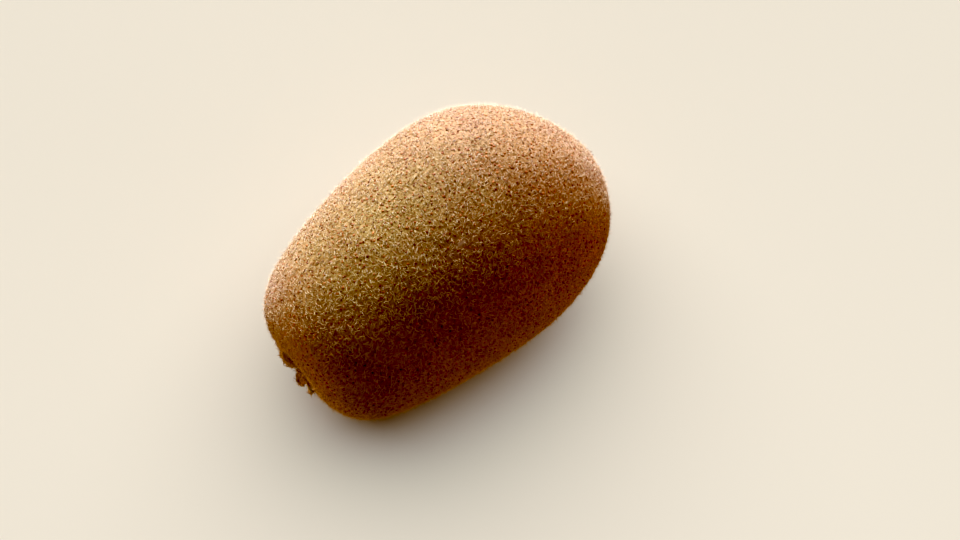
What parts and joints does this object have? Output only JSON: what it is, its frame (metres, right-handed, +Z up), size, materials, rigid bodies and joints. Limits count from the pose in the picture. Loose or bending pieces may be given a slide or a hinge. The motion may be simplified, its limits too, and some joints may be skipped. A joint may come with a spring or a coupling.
{
  "type": "kiwi fruit",
  "caption": "Whole egg-shaped kiwi fruit with a brown fuzzy skin, dry curled sepals round its stalk scar and a small dried scar at the tip, lying on a small flat spot.",
  "frame": {"origin": "bottom centre of the whole fruit's box, on the surface it rests on", "axes": "+Z up, +X along the fruit towards its tip, with the stem end and its sepals at -X, Y across the fruit"},
  "size_m": [0.0904, 0.0594, 0.0567],
  "materials": {
    "fuzzy_skin": "matt, covered in short golden-brown fuzz",
    "dry_sepal": "dry, papery and hairy",
    "woody_button": "rough, weathered",
    "dried_style": "dry, fibrous"
  },
  "bodies": {
    "root": {"fruit_body": "fuzzy_skin", "calyx_button": "woody_button", "sepal_1": "dry_sepal", "sepal_2": "dry_sepal", "sepal_3": "dry_sepal", "sepal_4": "dry_sepal", "sepal_5": "dry_sepal", "style_remnant": "dried_style"}
  },
  "joints": []
}
